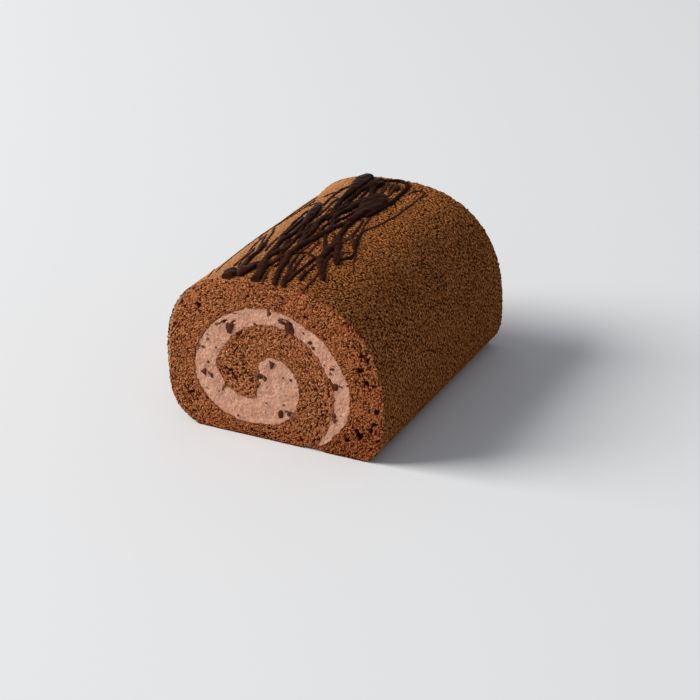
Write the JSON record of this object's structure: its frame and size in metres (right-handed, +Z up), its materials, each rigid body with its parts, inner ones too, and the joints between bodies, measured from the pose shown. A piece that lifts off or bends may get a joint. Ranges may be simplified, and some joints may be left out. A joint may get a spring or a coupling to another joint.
{
  "type": "swiss roll cake",
  "caption": "Chocolate swiss roll cake: a sponge sheet rolled round cream with chocolate chips, cut square at both ends, with melted chocolate trailed along the crown.",
  "frame": {"origin": "middle of the flat underside, on the surface the cake rests on", "axes": "+Y along the roll's axis, from the front cut face to the back one; +Z up; +X to the right seen from the front, towards the side where the sheet's free end tucks under"},
  "size_m": [0.1098, 0.1404, 0.081],
  "materials": {
    "sponge": "soft brown chocolate sponge, fine open crumb, suede-like pored skin",
    "cream": "whipped pinkish-brown chocolate cream, slightly moist",
    "chocolate": "set dark chocolate, half gloss"
  },
  "bodies": {
    "root": {"sponge": "sponge", "cream": "cream"}
  },
  "joints": []
}
